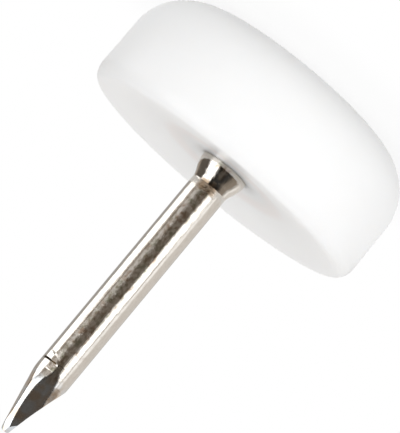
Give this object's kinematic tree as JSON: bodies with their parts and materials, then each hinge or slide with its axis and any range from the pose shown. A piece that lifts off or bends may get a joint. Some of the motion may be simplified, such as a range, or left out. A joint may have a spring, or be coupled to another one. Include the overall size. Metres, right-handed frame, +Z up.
{
  "type": "nail-on furniture glide",
  "caption": "Round white plastic glide with a rounded sliding edge, a shallow dished seat and a plated nail moulded in, driven into the end of a wooden furniture leg.",
  "frame": {"origin": "centre of the flat sliding face, on the floor", "axes": "+Z up the nail from the sliding face to the point, -Y towards the nail's front facet"},
  "size_m": [0.02, 0.02, 0.0281],
  "materials": {
    "pad_plastic": "satin moulded polyethylene, slightly translucent",
    "nail_plating": "bright nickel plating on drawn steel wire"
  },
  "bodies": {
    "root": {"glide_pad": "pad_plastic", "nail": "nail_plating"}
  },
  "joints": []
}
